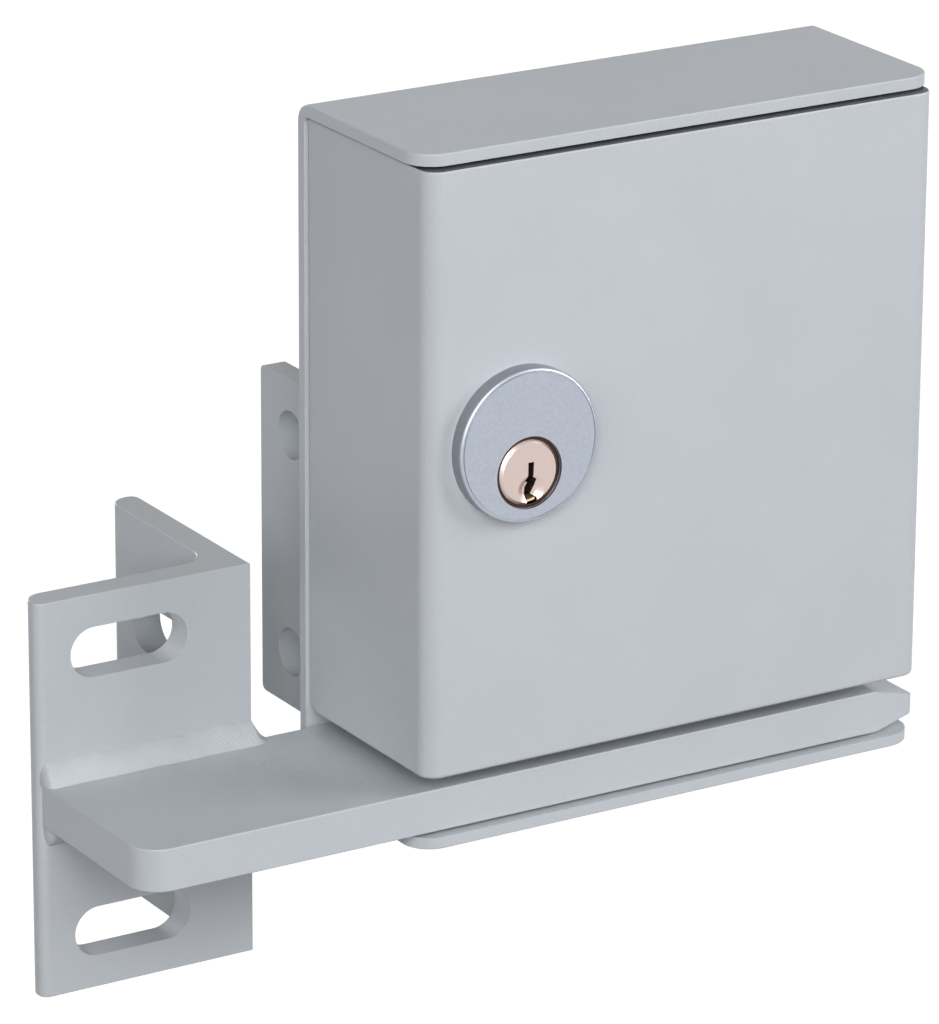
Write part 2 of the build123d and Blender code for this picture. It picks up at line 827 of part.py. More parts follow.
with BuildSketch() as gear_tooth:
    with BuildLine():
        upper_flank = Spline(*[flank_point(tip_roll * step / 4, 1) for step in range(5)])
        lower_flank = Spline(*[flank_point(tip_roll * step / 4, -1) for step in range(5)])
        ThreePointArc(upper_flank @ 1, (tip_r, 0), lower_flank @ 1)
        upper_foot = (foot_r * cos(flank_start), foot_r * sin(flank_start))
        lower_foot = (foot_r * cos(flank_start), -foot_r * sin(flank_start))
        Polyline(upper_flank @ 0, upper_foot, lower_foot, lower_flank @ 0)
    make_face()

with BuildPart() as drive_pinion:
    with BuildSketch(pinion_plane):
        Circle(root_r)
        with PolarLocations(0, pinion_teeth, start_angle=180 / pinion_teeth):
            add(gear_tooth.sketch)
        Circle(shaft_r, mode=Mode.SUBTRACT)
    extrude(amount=pinion_back - pinion_front)
save(drive_pinion, "drive_pinion")

with BuildPart() as output_shaft:
    with BuildSketch(facing_front(plate_back)):
        with Locations((pinion_x, pinion_z)):
            Circle(shaft_r)
    extrude(amount=plate_back - gearbox_back + shaft_engagement)
    chamfer(output_shaft.edges().group_by(Axis.Y)[-1], length=shaft_chamfer)
save(output_shaft, "output_shaft")

# Gearmotor

with BuildPart() as gearbox_housing:
    with BuildSketch(facing_front(gearbox_back)):
        with Locations(((gearbox_left + gearbox_right) / 2, (gearbox_low + gearbox_high) / 2)):
            RectangleRounded(gearbox_width, gearbox_height, gearbox_corner_r)
    extrude(amount=gearbox_back - gearbox_front - gearbox_cap_thick)
    with BuildSketch(facing_front(gearbox_front + gearbox_cap_thick)):
        with Locations(((gearbox_left + gearbox_right) / 2, (gearbox_low + gearbox_high) / 2)):
            RectangleRounded(
                gearbox_width - 2 * gearbox_cap_inset,
                gearbox_height - 2 * gearbox_cap_inset,
                gearbox_corner_r,
            )
    extrude(amount=gearbox_cap_thick)
    with BuildSketch(facing_front(pinion_front - gearbox_boss_gap)):
        with Locations((pinion_x, pinion_z)):
            Circle(gearbox_boss_r)
    extrude(amount=pinion_front - gearbox_boss_gap - gearbox_back)
    with BuildSketch(facing_front(pinion_front)):
        with Locations((pinion_x, pinion_z)):
            Circle(shaft_r + shaft_fit)
    extrude(amount=pinion_front - gearbox_back + shaft_engagement + gearbox_boss_gap, mode=Mode.SUBTRACT)
save(gearbox_housing, "gearbox_housing")

with BuildPart() as motor_can:
    with BuildSketch(Plane.XY.offset(gearbox_low)):
        with Locations((motor_x, motor_y)):
            Circle(motor_r)
            Rectangle(2 * motor_r, 2 * (motor_r - motor_flat), mode=Mode.INTERSECT)
    extrude(amount=-motor_length)
    chamfer(motor_can.edges().group_by(Axis.Z)[0], length=motor_chamfer)
save(motor_can, "motor_can")

with BuildPart() as motor_cap:
    with BuildSketch(Plane.XY.offset(gearbox_low - motor_length)):
        with Locations((motor_x, motor_y)):
            Circle(motor_cap_r)
    extrude(amount=-motor_cap_length)
    with BuildSketch(Plane.XY.offset(gearbox_low - motor_length - motor_cap_length)):
        with Locations((motor_x, motor_y)):
            with GridLocations(motor_tag_spacing, 0, 2, 1):
                Rectangle(*motor_tag_size)
    extrude(amount=-motor_tag_length)
save(motor_cap, "motor_cap")

with BuildPart() as motor_standoffs:
    with BuildSketch(facing_front(plate_front)):
        with Locations(standoff_points):
            Circle(standoff_r)
            Circle(small_screw_r, mode=Mode.SUBTRACT)
    extrude(amount=plate_front - gearbox_back)
save(motor_standoffs, "motor_standoffs")

with BuildPart() as motor_screws:
    with BuildSketch(facing_front(plate_back)):
        with Locations(standoff_points):
            Circle(small_screw_r)
    extrude(amount=plate_back - gearbox_back)
    with BuildSketch(facing_front(plate_back + small_head_thick)):
        with Locations(standoff_points):
            Circle(small_head_r)
    extrude(amount=small_head_thick)
    chamfer(motor_screws.edges().group_by(Axis.Y)[-1], length=small_head_chamfer)
save(motor_screws, "motor_screws")

# Carriage

lift_face = plug_z - lift_face_drop
runner_points = [(x, z) for x in rod_xs for z in (runner_low_z, runner_high_z)]

with BuildPart() as carriage_plate:
    with BuildSketch(facing_front(plate_back)):
        with Locations(((plate_left + plate_right) / 2, (plate_low + plate_high) / 2)):
            RectangleRounded(plate_right - plate_left, plate_high - plate_low, plate_corner_r)
        with Locations(((arm_left + plate_left + arm_overlap) / 2, lift_face + arm_height / 2)):
            Rectangle(plate_left + arm_overlap - arm_left, arm_height)
        with Locations((pinion_x, pinion_z)):
            Circle(shaft_r + shaft_fit, mode=Mode.SUBTRACT)
        with Locations(standoff_points):
            Circle(small_screw_r, mode=Mode.SUBTRACT)
    extrude(amount=plate_thick)
    with BuildSketch(facing_front(plate_front)):
        with Locations((arm_left + lift_lug_width / 2, lift_face + lift_lug_thick / 2)):
            Rectangle(lift_lug_width, lift_lug_thick)
    extrude(amount=plate_front - cam_front - lift_lug_gap)
save(carriage_plate, "carriage_plate")

with BuildPart() as carriage_runners:
    with BuildSketch(facing_front(chassis_front - runner_gap)):
        with Locations(runner_points):
            RectangleRounded(runner_width, runner_height, runner_corner_r)
    extrude(amount=chassis_front - runner_gap - plate_back)
    with BuildSketch(Plane.XY.offset(plate_low)):
        with Locations([(x, rod_y) for x in rod_xs]):
            Circle(rod_r + rod_fit)
    extrude(amount=plate_high - plate_low, mode=Mode.SUBTRACT)
save(carriage_runners, "carriage_runners")

spring_low = runner_high_z + runner_height / 2 + spring_wire_r
spring_height = chassis_head - chassis_sheet - spring_wire_r - spring_low
for number, spring_x in enumerate(rod_xs, start=1):
    with BuildPart() as return_spring:
        with BuildLine():
            coil = Helix(
                pitch=spring_height / spring_turns,
                height=spring_height,
                radius=spring_r,
                center=(spring_x, rod_y, spring_low),
            )
        with BuildSketch(Plane(origin=coil @ 0, z_dir=coil % 0)):
            RegularPolygon(spring_wire_r, 6)
        sweep(is_frenet=True)
    save(return_spring, f"return_spring_{number}")

with BuildPart() as position_sensor:
    with BuildSketch(facing_front(plate_front)):
        with Locations((rack_left - sensor_offset, magnet_z - bolt_stroke / 2)):
            RectangleRounded(*sensor_size, sensor_corner_r)
    extrude(amount=sensor_thick)
save(position_sensor, "position_sensor")

# Circuit board

with BuildPart() as circuit_board:
    with BuildSketch(facing_front(board_back)):
        with Locations(((board_left + board_right) / 2, (board_low + board_high) / 2)):
            RectangleRounded(board_right - board_left, board_high - board_low, board_corner_r)
        with Locations(board_points):
            Circle(small_screw_r, mode=Mode.SUBTRACT)
    extrude(amount=board_thick)
save(circuit_board, "circuit_board")

with BuildPart() as board_standoffs:
    with BuildSketch(facing_front(wall_front)):
        with Locations(board_points):
            RegularPolygon(standoff_r, 6)
            Circle(small_screw_r, mode=Mode.SUBTRACT)
    extrude(amount=board_standoff)
save(board_standoffs, "board_standoffs")

with BuildPart() as board_screws:
    with BuildSketch(facing_front(wall_front)):
        with Locations(board_points):
            Circle(small_screw_r)
    extrude(amount=board_standoff + board_thick)
    with BuildSketch(facing_front(board_front)):
        with Locations(board_points):
            Circle(small_head_r)
    extrude(amount=small_head_thick)
    chamfer(board_screws.edges().group_by(Axis.Y)[0], length=small_head_chamfer)
save(board_screws, "board_screws")

with BuildPart() as terminal_block:
    with BuildSketch(facing_front(board_front)):
        with Locations((board_left + terminal_x, board_low + terminal_z)):
            Rectangle(*terminal_size)
    extrude(amount=terminal_height)
    with BuildSketch(facing_front(board_front - terminal_height)):
        with Locations((board_left + terminal_x, board_low + terminal_z)):
            with GridLocations(terminal_pitch, 0, terminal_count, 1):
                Circle(terminal_screw_r)
    extrude(amount=-terminal_screw_depth, mode=Mode.SUBTRACT)
    with BuildSketch(Plane.XY.offset(board_low + terminal_z - terminal_size[1] / 2)):
        with Locations((board_left + terminal_x, board_front - terminal_throat)):
            with GridLocations(terminal_pitch, 0, terminal_count, 1):
                Rectangle(terminal_throat, terminal_throat)
    extrude(amount=terminal_throat, mode=Mode.SUBTRACT)
save(terminal_block, "terminal_block")

with BuildPart() as relay:
    with BuildSketch(facing_front(board_front)):
        with Locations((board_left + relay_x, board_high - relay_drop)):
            RectangleRounded(*relay_size, component_edge)
    extrude(amount=relay_height)
    chamfer(relay.edges().group_by(Axis.Y)[0], length=component_edge / 2)
save(relay, "relay")

with BuildPart() as capacitors:
    with BuildSketch(facing_front(board_front)):
        with Locations([(board_left + capacitor_x, board_high - drop) for drop in capacitor_drops]):
            Circle(capacitor_r)
    extrude(amount=capacitor_height)
    chamfer(capacitors.edges().group_by(Axis.Y)[0], length=component_edge)
save(capacitors, "capacitors")

# Strike

with BuildPart() as strike_angle:
    with BuildSketch(Plane.XY.offset(angle_bottom)) as angle_profile:
        with BuildLine():
            Polyline(
                (angle_left, bar_back),
                (angle_right, bar_back),
                (angle_right, angle_rear),
                (angle_right - angle_thick, angle_rear),
                (angle_right - angle_thick, bar_back + angle_thick),
                (angle_left, bar_back + angle_thick),
                close=True,
            )
        make_face()
        root = (angle_right - angle_thick, bar_back + angle_thick)
        fillet(angle_profile.vertices().sort_by_distance(root)[0], radius=angle_root_r)
        for toe in ((angle_right - angle_thick, angle_rear), (angle_left, bar_back + angle_thick)):
            fillet(angle_profile.vertices().sort_by_distance(toe)[0], radius=angle_toe_r)
        for toe_edge in ((angle_right, angle_rear), (angle_left, bar_back)):
            fillet(angle_profile.vertices().sort_by_distance(toe_edge)[0], radius=angle_toe_edge_r)
    extrude(amount=angle_height)
    fillet(strike_angle.faces().sort_by(Axis.Z)[-1].edges(), radius=angle_edge_r)
    fillet(strike_angle.faces().sort_by(Axis.Z)[0].edges(), radius=angle_edge_r)
    with BuildSketch(facing_front(bar_back)):
        with Locations((slot_x, angle_mid_z)):
            with GridLocations(0, slot_spacing, 1, 2):
                SlotOverall(slot_length, slot_width)
    extrude(amount=-angle_thick, mode=Mode.SUBTRACT)
    with BuildSketch(Plane.YZ.offset(angle_right)):
        with Locations((leg_slot_y, angle_mid_z)):
            with GridLocations(0, leg_slot_spacing, 1, 2):
                SlotOverall(slot_length, slot_width)
    extrude(amount=-angle_thick, mode=Mode.SUBTRACT)
save(strike_angle, "strike_angle")

# The side view of the bar, with its tapered nose, crossed with its plan
with BuildPart() as strike_bar:
    with BuildSketch(facing_front(bar_back)) as bar_side:
        with BuildLine():
            Polyline(
                (bar_left, bar_bottom),
                (bar_nose - nose_length, bar_bottom),
                (bar_nose, bar_bottom + nose_bottom_rise),
                (bar_nose, bar_top - nose_top_drop),
                (bar_nose - nose_length, bar_top),
                (bar_left, bar_top),
                close=True,
            )
        make_face()
        lip = (bar_nose, bar_bottom + nose_bottom_rise)
        fillet(bar_side.vertices().sort_by_distance(lip)[0], radius=nose_lip_r)
    extrude(amount=bar_back - bar_front)
    with BuildSketch(Plane.XY.offset(bar_bottom)) as bar_plan:
        with Locations(((bar_left + bar_nose) / 2, bolt_y)):
            Rectangle(bar_nose - bar_left, bar_back - bar_front)
        fillet(bar_plan.vertices().sort_by_distance((bar_left, bar_front))[0], radius=bar_corner_r)
        fillet(bar_plan.vertices().group_by(Axis.X)[-1], radius=nose_corner_r)
    extrude(amount=bar_thick, mode=Mode.INTERSECT)
    for flat in (strike_bar.faces().sort_by(Axis.Z)[-1], strike_bar.faces().sort_by(Axis.Z)[0]):
        rim = flat.edges().filter_by_position(Axis.Y, bar_front - overrun, bar_back - overrun)
        fillet(rim, radius=bar_edge_r)
    with BuildSketch(Plane.XY.offset(bar_top)):
        with Locations((bolt_x, bolt_y)):
            Circle(bolt_hole_r)
    extrude(amount=-bar_thick, mode=Mode.SUBTRACT)
save(strike_bar, "strike_bar")

# Weld beads above and below the bar, with a round face. They end round on the face of the angle, and at its
# heel they turn round its corner, where an upright bead joins them.
with BuildPart() as strike_welds:
    bead_start = bead_left + bead_depth
    for side, edge in ((1, bar_top), (-1, bar_bottom)):
        for x, turn, arc in ((bead_start, -1, 90), (angle_right, 1, 180)):
            with BuildSketch(Plane.YZ.offset(x)):
                with BuildLine():
                    foot = (bar_back - bead_depth, edge)
                    crest = (bar_back, edge + side * bead_height)
                    Polyline(foot, (bar_back, edge), crest)
                    SagittaArc(crest, foot, side * bead_bulge)
                make_face()
            section = strike_welds.pending_faces[0]
            revolve(axis=Axis((x, bar_back, edge), (0, 0, turn)), revolution_arc=arc)
        extrude(section, amount=angle_right - bead_start, dir=(-1, 0, 0))
    with BuildSketch(Plane.XY.offset(bar_bottom)):
        with BuildLine():
            heel_round = CenterArc((angle_right, bar_back), bead_depth, 0, 90)
            Polyline(heel_round @ 0, (angle_right, bar_back), heel_round @ 1)
        make_face()
    extrude(amount=bar_thick)
save(strike_welds, "strike_welds")
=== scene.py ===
import json
import math

import bpy
import numpy as np
from mathutils import Matrix, Vector


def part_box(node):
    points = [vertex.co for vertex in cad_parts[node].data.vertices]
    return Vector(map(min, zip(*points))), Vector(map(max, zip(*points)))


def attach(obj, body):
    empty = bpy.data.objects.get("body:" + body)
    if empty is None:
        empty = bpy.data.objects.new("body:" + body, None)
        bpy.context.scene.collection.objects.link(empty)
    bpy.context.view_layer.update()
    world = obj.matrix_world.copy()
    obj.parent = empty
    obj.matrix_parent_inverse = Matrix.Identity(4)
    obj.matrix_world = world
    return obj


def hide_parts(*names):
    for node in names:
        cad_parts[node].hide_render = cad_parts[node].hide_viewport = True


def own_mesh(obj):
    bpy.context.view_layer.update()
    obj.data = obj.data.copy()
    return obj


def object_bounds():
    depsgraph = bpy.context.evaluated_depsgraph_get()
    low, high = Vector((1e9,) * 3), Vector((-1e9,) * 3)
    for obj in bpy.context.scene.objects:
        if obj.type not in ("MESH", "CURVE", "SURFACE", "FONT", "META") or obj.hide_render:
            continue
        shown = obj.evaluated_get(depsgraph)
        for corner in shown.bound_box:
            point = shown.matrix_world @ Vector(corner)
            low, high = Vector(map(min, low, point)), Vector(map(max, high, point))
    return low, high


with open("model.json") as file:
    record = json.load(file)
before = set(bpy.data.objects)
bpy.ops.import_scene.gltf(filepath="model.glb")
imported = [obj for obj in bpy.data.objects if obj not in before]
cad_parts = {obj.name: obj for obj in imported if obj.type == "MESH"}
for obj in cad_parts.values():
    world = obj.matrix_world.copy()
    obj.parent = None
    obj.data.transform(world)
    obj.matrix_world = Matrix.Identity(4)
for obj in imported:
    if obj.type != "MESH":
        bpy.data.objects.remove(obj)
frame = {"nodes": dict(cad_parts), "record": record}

bl_info = {
    "name": "Gate lock",
    "version": (1, 0, 0),
    "blender": (4, 5, 0),
    "location": "View3D > Sidebar > Gate lock",
    "description": "Finishes, weld beads, keyway tongue and studio for a gate lock and its strike",
    "category": "Object",
}

MM = 0.001
SLOT_OF = {row["node"]: row["material_slot"] for row in frame["record"]["subparts"]}
OWN_FINISH = {"front_cover": "cover_coat"}

# The object's box before anything is added
CAD_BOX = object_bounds()

# The front faces of the rim disc and of the plug in it: their middles and radii, from the frame
DISC_LOW, DISC_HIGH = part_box("cylinder_shell")
DISC_CENTRE = Vector(((DISC_LOW.x + DISC_HIGH.x) / 2, DISC_LOW.y, (DISC_LOW.z + DISC_HIGH.z) / 2))
DISC_R = (DISC_HIGH.x - DISC_LOW.x) / 2
PLUG_LOW, PLUG_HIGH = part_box("key_plug")
PLUG_CENTRE = Vector(((PLUG_LOW.x + PLUG_HIGH.x) / 2, PLUG_LOW.y, (PLUG_LOW.z + PLUG_HIGH.z) / 2))
PLUG_R = (PLUG_HIGH.x - PLUG_LOW.x) / 2

# What the weld beads lie on: the bar and the angle of the strike, whose edges are rounded, and the tab
BAR_LOW, BAR_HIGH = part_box("strike_bar")
ANGLE_LOW, ANGLE_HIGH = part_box("strike_angle")
TAB_LOW, TAB_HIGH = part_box("post_tab")
ANGLE_EDGE_R = 2.0 * MM

# Axes as arrays, for the surfaces
ALONG = np.array((1.0, 0.0, 0.0))
BACK = np.array((0.0, 1.0, 0.0))
UP = np.array((0.0, 0.0, 1.0))

# The camera of the photograph: its image size and focal length in pixels, and how the disc lies from it
IMAGE_WIDTH = 939
IMAGE_HEIGHT = 1024
FOCAL_PX = 6164.73
PRINCIPAL_PX = (470.07, 497.3)
VIEW_TURN = math.radians(31.5)
VIEW_DROP = math.radians(19.2)
VIEW_ROLL = math.radians(0.32)
DISC_FROM_CAMERA = (11.675 * MM, 10.02 * MM, 1203.675 * MM)
SENSOR = 36.0


class LockFinish(bpy.types.PropertyGroup):
    """Colours and grain of the finishes"""

    coat: bpy.props.FloatVectorProperty(
        name="Powder coat", description="Colour of the powder coat", subtype="COLOR", size=3,
        default=(0.52, 0.55, 0.575), min=0, max=1,
    )
    # Painted shade: a near-black laid on the top of the front cover, in the gap below the lid where shade
    # falls
    gap: bpy.props.FloatVectorProperty(
        name="Gap", description="Colour of the cover's top edge, in the gap below the lid", subtype="COLOR",
        size=3, default=(0.05, 0.053, 0.057), min=0, max=1,
    )
    coat_grain: bpy.props.FloatProperty(
        name="Coat grain", description="Size of the coat's fine grain", subtype="DISTANCE", unit="LENGTH",
        default=0.35 * MM, min=0.05 * MM, max=5 * MM, precision=5,
    )
    coat_depth: bpy.props.FloatProperty(
        name="Coat depth", description="Height of the coat's fine grain", subtype="DISTANCE", unit="LENGTH",
        default=0.05 * MM, min=0, max=MM, precision=6,
    )
    chrome: bpy.props.FloatVectorProperty(
        name="Rim disc", description="Colour of the satin rim disc", subtype="COLOR", size=3,
        default=(0.4, 0.43, 0.487), min=0, max=1,
    )
    nickel: bpy.props.FloatVectorProperty(
        name="Plug", description="Colour of the key plug", subtype="COLOR", size=3,
        default=(0.6, 0.49, 0.445), min=0, max=1,
    )
    # Painted shade: a dark grey laid on the outer edge of the disc's face and on its side, for the dark
    # reflection and shadow line there
    rim: bpy.props.FloatVectorProperty(
        name="Disc edge", description="Colour of the rim disc's unpolished edge", subtype="COLOR", size=3,
        default=(0.34, 0.35, 0.375), min=0, max=1,
    )
    # Painted shade: a dark brown laid in the recess round the plug, where shade falls
    tarnish: bpy.props.FloatVectorProperty(
        name="Tarnish", description="Colour of the recess round the plug", subtype="COLOR", size=3,
        default=(0.06, 0.035, 0.025), min=0, max=1,
    )


class LockWelds(bpy.types.PropertyGroup):
    """Sizes of the weld beads"""

    bead_depth: bpy.props.FloatProperty(
        name="Bead depth", description="How far a bead lies out over the bar", subtype="DISTANCE",
        unit="LENGTH", default=3.3 * MM, min=MM, max=3.4 * MM, precision=5,
    )
    bead_height: bpy.props.FloatProperty(
        name="Bead height", description="How far a bead climbs the angle", subtype="DISTANCE", unit="LENGTH",
        default=4.4 * MM, min=MM, max=8 * MM, precision=5,
    )
    tab_leg: bpy.props.FloatProperty(
        name="Tab bead", description="Width and height of the bead round the tab", subtype="DISTANCE",
        unit="LENGTH", default=3.8 * MM, min=MM, max=4 * MM, precision=5,
    )
    bulge: bpy.props.FloatProperty(
        name="Bulge", description="How far a bead's face stands proud in its middle", subtype="DISTANCE",
        unit="LENGTH", default=0.55 * MM, min=0, max=2 * MM, precision=5,
    )
    ripple: bpy.props.FloatProperty(
        name="Ripple", description="Height of a bead's ripples", subtype="DISTANCE", unit="LENGTH",
        default=0.042 * MM, min=0, max=MM, precision=6,
    )
    pitch: bpy.props.FloatProperty(
        name="Pitch", description="Distance from ripple to ripple", subtype="DISTANCE", unit="LENGTH",
        default=1.05 * MM, min=0.3 * MM, max=5 * MM, precision=5,
    )


class LockStudio(bpy.types.PropertyGroup):
    """Floor and lights"""

    floor_drop: bpy.props.FloatProperty(
        name="Floor drop", description="How far the floor lies below the object", subtype="DISTANCE",
        unit="LENGTH", default=60 * MM, min=0, max=1,
    )
    key_power: bpy.props.FloatProperty(
        name="Key light", description="Power of the light at the front left", default=29.0, min=0,
    )
    side_power: bpy.props.FloatProperty(
        name="Side light", description="Power of the light at the right", default=22.0, min=0,
    )
    fill_power: bpy.props.FloatProperty(
        name="Fill light", description="Power of the low light at the left", default=8.0, min=0,
    )
    back_power: bpy.props.FloatProperty(
        name="Back light", description="Power of the low light behind the object", default=12.0, min=0,
    )
    ambient: bpy.props.FloatProperty(
        name="Ambient", description="Strength of the even light from all round", default=0.01, min=0,
    )


def link(tree, source, target):
    """Join two sockets of a node tree."""
    tree.links.new(source, target)


def feed(tree, value, socket):
    """Give a socket a plain value, or join another socket to it."""
    if isinstance(value, bpy.types.NodeSocket):
        link(tree, value, socket)
    else:
        socket.default_value = value


def math_node(tree, operation, first, second=0.0, third=0.0):
    """A Math node whose inputs are sockets or plain numbers; returns its output socket."""
    node = tree.nodes.new("ShaderNodeMath")
    node.operation = operation
    for index, value in enumerate((first, second, third)):
        feed(tree, value, node.inputs[index])
    return node.outputs[0]


def vector_node(tree, operation, first, second=(0, 0, 0)):
    """A Vector Math node whose inputs are sockets or plain triples; returns the node."""
    node = tree.nodes.new("ShaderNodeVectorMath")
    node.operation = operation
    for index, value in enumerate((first, second)):
        feed(tree, value, node.inputs[index])
    return node


def noise_node(tree, place, scale, detail, roughness=0.5):
    """A Noise node at a place, which may be a vector or, for one dimension, a number; returns its factor."""
    node = tree.nodes.new("ShaderNodeTexNoise")
    node.inputs["Detail"].default_value = detail
    node.inputs["Roughness"].default_value = roughness
    feed(tree, scale, node.inputs["Scale"])
    if place.type == "VALUE":
        node.noise_dimensions = "1D"
        link(tree, place, node.inputs["W"])
    else:
        link(tree, place, node.inputs["Vector"])
    return node.outputs["Fac"]


def mix_node(tree, factor, first, second, blend="MIX"):
    """A colour Mix node; its factor and colours are sockets or plain values. Returns its output socket."""
    node = tree.nodes.new("ShaderNodeMix")
    node.data_type = "RGBA"
    node.blend_type = blend
    feed(tree, factor, node.inputs["Factor"])
    feed(tree, first, node.inputs["A"])
    feed(tree, second, node.inputs["B"])
    return node.outputs["Result"]


def new_group(name, inputs, outputs):
    """An empty shader node group with float or vector sockets; returns it with its input and output nodes."""
    group = bpy.data.node_groups.new(name, "ShaderNodeTree")
    for label, kind, default in inputs:
        socket = group.interface.new_socket(label, in_out="INPUT", socket_type=kind)
        socket.default_value = default
    for label in outputs:
        group.interface.new_socket(label, in_out="OUTPUT", socket_type="NodeSocketFloat")
    return group, group.nodes.new("NodeGroupInput"), group.nodes.new("NodeGroupOutput")


def tone_of(tree, pattern, contrast):
    """A factor near 1 that follows a pattern whose middle is one half."""
    return math_node(tree, "MULTIPLY_ADD", math_node(tree, "SUBTRACT", pattern, 0.5), contrast, 1.0)


# The orange peel's scale as a share of the grain's, so that its bumps are larger
PEEL_TO_GRAIN = 0.22


def grain_group(name):
    """Fine grain over soft orange peel and long mottling: Height for a bump, and Tone, a factor near 1."""
    group, given, out = new_group(
        name,
        [
            ("Grain", "NodeSocketFloat", 0.4 * MM),
            ("Peel", "NodeSocketFloat", 0.5),
            ("Mottle", "NodeSocketFloat", 30 * MM),
            ("Contrast", "NodeSocketFloat", 0.03),
        ],
        ("Height", "Tone"),
    )
    place = group.nodes.new("ShaderNodeTexCoord").outputs["Object"]
    fine_scale = math_node(group, "DIVIDE", 1.0, given.outputs["Grain"])
    fine = noise_node(group, place, fine_scale, 3, 0.6)
    peel = noise_node(group, place, math_node(group, "MULTIPLY", fine_scale, PEEL_TO_GRAIN), 1)
    wide = noise_node(group, place, math_node(group, "DIVIDE", 1.0, given.outputs["Mottle"]), 2)
    link(group, math_node(group, "MULTIPLY_ADD", peel, given.outputs["Peel"], fine), out.inputs["Height"])
    both = math_node(group, "MULTIPLY", math_node(group, "ADD", fine, wide), 0.5)
    link(group, tone_of(group, both, given.outputs["Contrast"]), out.inputs["Tone"])
    return group


def radius_in(group, centre):
    """How far a point lies from a centre in the X-Z plane."""
    place = group.nodes.new("ShaderNodeTexCoord").outputs["Object"]
    offset = vector_node(group, "SUBTRACT", place, centre).outputs[0]
    flat = vector_node(group, "MULTIPLY", offset, (1, 0, 1)).outputs[0]
    return vector_node(group, "LENGTH", flat).outputs["Value"]


def turned_group(name):
    """Marks of turning, in rings round a centre in the X-Z plane: Height for a bump, and Tone near 1."""
    group, given, out = new_group(
        name,
        [
            ("Centre", "NodeSocketVector", (0, 0, 0)),
            ("Pitch", "NodeSocketFloat", 0.1 * MM),
            ("Contrast", "NodeSocketFloat", 0.1),
        ],
        ("Height", "Tone"),
    )
    radius = radius_in(group, given.outputs["Centre"])
    rings = noise_node(group, math_node(group, "DIVIDE", radius, given.outputs["Pitch"]), 1.0, 2)
    link(group, rings, out.inputs["Height"])
    link(group, tone_of(group, rings, given.outputs["Contrast"]), out.inputs["Tone"])
    return group


def zone_group(name):
    """A mask that is 1 between two radii round a centre in the X-Z plane, with a short soft edge."""
    group, given, out = new_group(
        name,
        [
            ("Centre", "NodeSocketVector", (0, 0, 0)),
            ("Inner", "NodeSocketFloat", 0.0),
            ("Outer", "NodeSocketFloat", MM),
            ("Soft", "NodeSocketFloat", 0.05 * MM),
        ],
        ("Mask",),
    )
    radius = radius_in(group, given.outputs["Centre"])
    sides = [
        math_node(group, "DIVIDE", math_node(group, "SUBTRACT", *pair), given.outputs["Soft"])
        for pair in ((radius, given.outputs["Inner"]), (given.outputs["Outer"], radius))
    ]
    nearer = math_node(group, "MINIMUM", *sides)
    inside = group.nodes.new("ShaderNodeClamp")
    link(group, nearer, inside.inputs["Value"])
    link(group, inside.outputs[0], out.inputs["Mask"])
    return group


def level_group(name):
    """A mask that is 1 above a level, with a short soft edge below it."""
    group, given, out = new_group(
        name,
        [("Level", "NodeSocketFloat", 0.0), ("Soft", "NodeSocketFloat", 0.05 * MM)],
        ("Mask",),
    )
    place = group.nodes.new("ShaderNodeTexCoord").outputs["Object"]
    split = group.nodes.new("ShaderNodeSeparateXYZ")
    link(group, place, split.inputs[0])
    over = math_node(group, "SUBTRACT", split.outputs["Z"], given.outputs["Level"])
    inside = group.nodes.new("ShaderNodeClamp")
    nearness = math_node(group, "DIVIDE", over, given.outputs["Soft"])
    link(group, math_node(group, "ADD", nearness, 1.0), inside.inputs["Value"])
    link(group, inside.outputs[0], out.inputs["Mask"])
    return group


def placed(tree, build, values):
    """A node that holds the group of a build function, made once, with its own values."""
    node = tree.nodes.new("ShaderNodeGroup")
    node.node_tree = bpy.data.node_groups.get(build.__name__) or build(build.__name__)
    for label, value in values:
        node.inputs[label].default_value = value
    return node


def finish(
    name, colour, build=grain_group, values=(), roughness=0.4, spread=0.0, metallic=0.0, depth=0.01 * MM,
    zones=(),
):
    """A material: one pattern group tints the colour, spreads the roughness and lifts the surface. Each
    zone, a colour, a mask group and its values, lays another colour over the first."""
    material = bpy.data.materials.new(name)
    material.use_nodes = True
    tree = material.node_tree
    shader = tree.nodes["Principled BSDF"]
    pattern = placed(tree, build, values)
    base = (*colour, 1)
    for zone_colour, mask, zone_values in zones:
        base = mix_node(tree, placed(tree, mask, zone_values).outputs["Mask"], base, (*zone_colour, 1))
    link(tree, mix_node(tree, 1.0, base, pattern.outputs["Tone"], "MULTIPLY"), shader.inputs["Base Color"])
    shader.inputs["Metallic"].default_value = metallic
    height = pattern.outputs["Height"]
    spread_out = math_node(tree, "MULTIPLY_ADD", height, spread, roughness - spread / 2)
    link(tree, spread_out, shader.inputs["Roughness"])
    bump = tree.nodes.new("ShaderNodeBump")
    bump.inputs["Distance"].default_value = depth
    bump.inputs["Strength"].default_value = 1.0
    link(tree, height, bump.inputs["Height"])
    link(tree, bump.outputs["Normal"], shader.inputs["Normal"])
    return material


# Painted shade in the plug's recess, on the disc's edge and in the gap above the cover; painted light on the
# welds
RECESS_WIDTH = 0.78 * MM
RECESS_SOFT = 0.04 * MM
DISC_EDGE_SHADE = 0.22 * MM
GAP_SHADE_DEPTH = 0.08 * MM
WELD_PAINTED_LIGHT = 1.04


